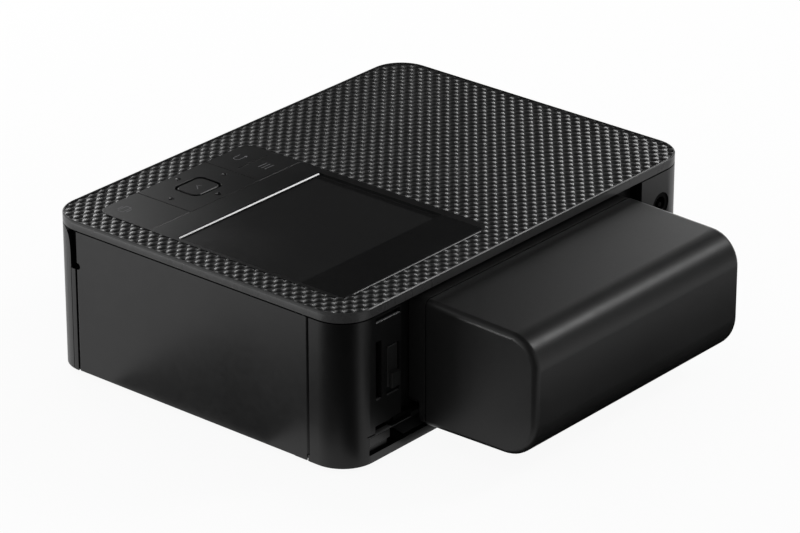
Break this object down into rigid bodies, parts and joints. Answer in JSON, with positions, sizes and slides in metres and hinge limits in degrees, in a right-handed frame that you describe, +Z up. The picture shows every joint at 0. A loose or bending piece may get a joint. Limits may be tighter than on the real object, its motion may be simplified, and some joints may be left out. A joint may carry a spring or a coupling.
{
  "type": "compact photo printer",
  "caption": "Compact dye-transfer photo printer with an ink door, a paper door, a keypad and screen on top, and a battery pack on its rear.",
  "frame": {"origin": "on the table, under the centre of the printer with its battery pack", "axes": "+Z up, +X towards the ink-door side, +Y towards the battery pack, -Y towards the paper door"},
  "size_m": [0.1822, 0.1818, 0.0576],
  "materials": {
    "case_plastic": "satin near-black",
    "cover_plastic": "near-black with small pillow-shaped bumps",
    "panel_gloss": "smooth black",
    "window_gloss": "glossy black window",
    "display_grey": "dark display",
    "circuit_board": "solder mask",
    "power_board_tan": "bare board",
    "contact_brass": "bright",
    "bush_brass": "turned",
    "foot_rubber": "matt",
    "roller_rubber": "ground",
    "screw_steel": "plated",
    "sheet_steel": "zinc plated",
    "shaft_steel": "ground",
    "motor_steel": "plated can",
    "sink_aluminium": "extruded",
    "head_ceramic": "glazed strip",
    "socket_plastic": "black",
    "gear_plastic": "moulded",
    "pinch_plastic": "moulded",
    "cassette_plastic": "moulded",
    "ribbon_plum": "coated film",
    "ribbon_ochre": "coated film",
    "cell_wrap": "shrink film"
  },
  "bodies": {
    "printer": {"body_shell": "case_plastic", "base_plate": "case_plastic", "top_cover": "cover_plastic", "panel_bezel": "panel_gloss", "screen_window": "window_gloss", "lcd_module": "display_grey", "key_board": "circuit_board", "battery_bay": "case_plastic", "battery_contacts": "contact_brass", "rubber_feet": "foot_rubber", "case_screws": "screw_steel", "dc_jack": "socket_plastic", "card_slot": "sheet_steel", "usb_port": "sheet_steel", "chassis_floor": "sheet_steel", "chassis_left": "sheet_steel", "chassis_right": "sheet_steel", "motor_bracket": "sheet_steel", "shaft_bushes": "bush_brass", "head_pivot_shaft": "shaft_steel", "idler_axle": "shaft_steel", "rear_paper_guide": "case_plastic", "main_board": "circuit_board", "power_board": "power_board_tan", "feed_motor": "motor_steel", "ribbon_motor": "motor_steel", "ink_door_pins": "shaft_steel", "paper_door_pins": "shaft_steel"},
    "ink_door": {"ink_door": "case_plastic"},
    "paper_door": {"paper_door": "case_plastic"},
    "print_key": {"print_key": "panel_gloss"},
    "nav_pad": {"nav_pad": "panel_gloss"},
    "ok_key": {"ok_key": "panel_gloss"},
    "menu_rocker": {"menu_rocker": "panel_gloss"},
    "release_lever": {"release_lever": "case_plastic"},
    "print_head": {"head_arm": "sheet_steel", "heat_sink": "sink_aluminium", "thermal_head": "head_ceramic"},
    "platen": {"platen_shaft": "shaft_steel", "platen_sleeve": "roller_rubber"},
    "capstan": {"capstan_roller": "shaft_steel", "capstan_gear": "gear_plastic"},
    "pinch": {"pinch_roller": "pinch_plastic"},
    "idler": {"idler_gear": "gear_plastic"},
    "feed_drive": {"feed_pinion": "bush_brass"},
    "pickup": {"pickup_shaft": "shaft_steel", "pickup_tyres": "roller_rubber", "pickup_gear": "gear_plastic"},
    "takeup_drive": {"takeup_spindle": "shaft_steel", "takeup_gear": "gear_plastic"},
    "ribbon_drive": {"ribbon_pinion": "bush_brass"},
    "ink_cassette": {"ink_cassette_shell": "cassette_plastic", "ribbon_film": "ribbon_plum"},
    "supply_spool": {"supply_spool": "ribbon_plum"},
    "takeup_spool": {"takeup_spool": "ribbon_ochre"},
    "battery_pack": {"battery_case": "case_plastic", "battery_plate": "case_plastic", "battery_cells": "cell_wrap"}
  },
  "joints": [
    {"name": "ink_door_hinge", "type": "hinge", "parent": "printer", "child": "ink_door", "pos_m": [0.0898, 0.02315, 0.028], "axis": [0, 0, 1], "range_deg": [0, 100]},
    {"name": "paper_door_hinge", "type": "hinge", "parent": "printer", "child": "paper_door", "pos_m": [0.005, -0.08955, 0.0043], "axis": [1, 0, 0], "range_deg": [0, 90]},
    {"name": "print_key_press", "type": "slide", "parent": "printer", "child": "print_key", "axis": [0, 0, -1], "range_m": [0, 0.0005], "stiffness_N_per_m": 1500, "springref_m": -0.0003},
    {"name": "ok_key_press", "type": "slide", "parent": "printer", "child": "ok_key", "axis": [0, 0, -1], "range_m": [0, 0.0005], "stiffness_N_per_m": 1500, "springref_m": -0.0003},
    {"name": "menu_rock", "type": "hinge", "parent": "printer", "child": "menu_rocker", "pos_m": [0.0147, -0.06655, 0.0564], "axis": [1, 0, 0], "range_deg": [-1.5, 1.5], "stiffness_Nm_per_rad": 0.9},
    {"name": "nav_pad_rock", "type": "hinge", "parent": "printer", "child": "nav_pad", "pos_m": [0.0428, -0.06645, 0.0564], "axis": [0, 1, 0], "range_deg": [-0.7, 0.7], "stiffness_Nm_per_rad": 1.1},
    {"name": "release_lever_slide", "type": "slide", "parent": "printer", "child": "release_lever", "axis": [0, 0, -1], "range_m": [0, 0.002], "stiffness_N_per_m": 300, "springref_m": -0.002},
    {"name": "battery_slide", "type": "slide", "parent": "printer", "child": "battery_pack", "axis": [0, 1, 0], "range_m": [0, 0.03]},
    {"name": "ink_cassette_slide", "type": "slide", "parent": "printer", "child": "ink_cassette", "axis": [1, 0, 0], "range_m": [0, 0.003]},
    {"name": "print_head_swing", "type": "hinge", "parent": "printer", "child": "print_head", "pos_m": [0.004, 0.01965, 0.04765], "axis": [1, 0, 0], "range_deg": [0, 4.2], "stiffness_Nm_per_rad": 0.12, "springref_deg": -28.65},
    {"name": "capstan_spin", "type": "hinge", "parent": "printer", "child": "capstan", "pos_m": [0.004, -0.00835, 0.013], "axis": [1, 0, 0], "continuous": true},
    {"name": "pinch_spin", "type": "hinge", "parent": "printer", "child": "pinch", "pos_m": [0.004, -0.00835, 0.0193], "axis": [1, 0, 0], "continuous": true},
    {"name": "platen_spin", "type": "hinge", "parent": "printer", "child": "platen", "pos_m": [0.004, -0.02435, 0.0115], "axis": [1, 0, 0], "continuous": true},
    {"name": "idler_spin", "type": "hinge", "parent": "printer", "child": "idler", "pos_m": [0.004, 0.00165, 0.03032], "axis": [1, 0, 0], "continuous": true},
    {"name": "feed_drive_spin", "type": "hinge", "parent": "printer", "child": "feed_drive", "pos_m": [0.004, 0.01636, 0.04266], "axis": [1, 0, 0], "continuous": true},
    {"name": "takeup_drive_spin", "type": "hinge", "parent": "printer", "child": "takeup_drive", "pos_m": [0.004, -0.04535, 0.033], "axis": [1, 0, 0], "continuous": true},
    {"name": "pickup_spin", "type": "hinge", "parent": "printer", "child": "pickup", "pos_m": [0.004, -0.06197, 0.02511], "axis": [1, 0, 0], "continuous": true},
    {"name": "ribbon_drive_spin", "type": "hinge", "parent": "printer", "child": "ribbon_drive", "pos_m": [0.004, -0.05822, 0.0438], "axis": [1, 0, 0], "continuous": true},
    {"name": "takeup_spool_spin", "type": "hinge", "parent": "ink_cassette", "child": "takeup_spool", "pos_m": [0.004, -0.04535, 0.033], "axis": [1, 0, 0], "continuous": true},
    {"name": "supply_spool_spin", "type": "hinge", "parent": "ink_cassette", "child": "supply_spool", "pos_m": [0.004, -0.00135, 0.033], "axis": [1, 0, 0], "continuous": true}
  ],
  "couplings": [
    {"joint": "pinch_spin", "follows": "capstan_spin", "ratio": -1},
    {"joint": "platen_spin", "follows": "capstan_spin", "ratio": 0.66667},
    {"joint": "idler_spin", "follows": "capstan_spin", "ratio": -0.38889},
    {"joint": "feed_drive_spin", "follows": "capstan_spin", "ratio": 1.1667},
    {"joint": "pickup_spin", "follows": "takeup_drive_spin", "ratio": -1.875},
    {"joint": "ribbon_drive_spin", "follows": "takeup_drive_spin", "ratio": -2.5},
    {"joint": "takeup_spool_spin", "follows": "takeup_drive_spin", "ratio": 1},
    {"joint": "supply_spool_spin", "follows": "takeup_drive_spin", "ratio": 0.62791}
  ]
}
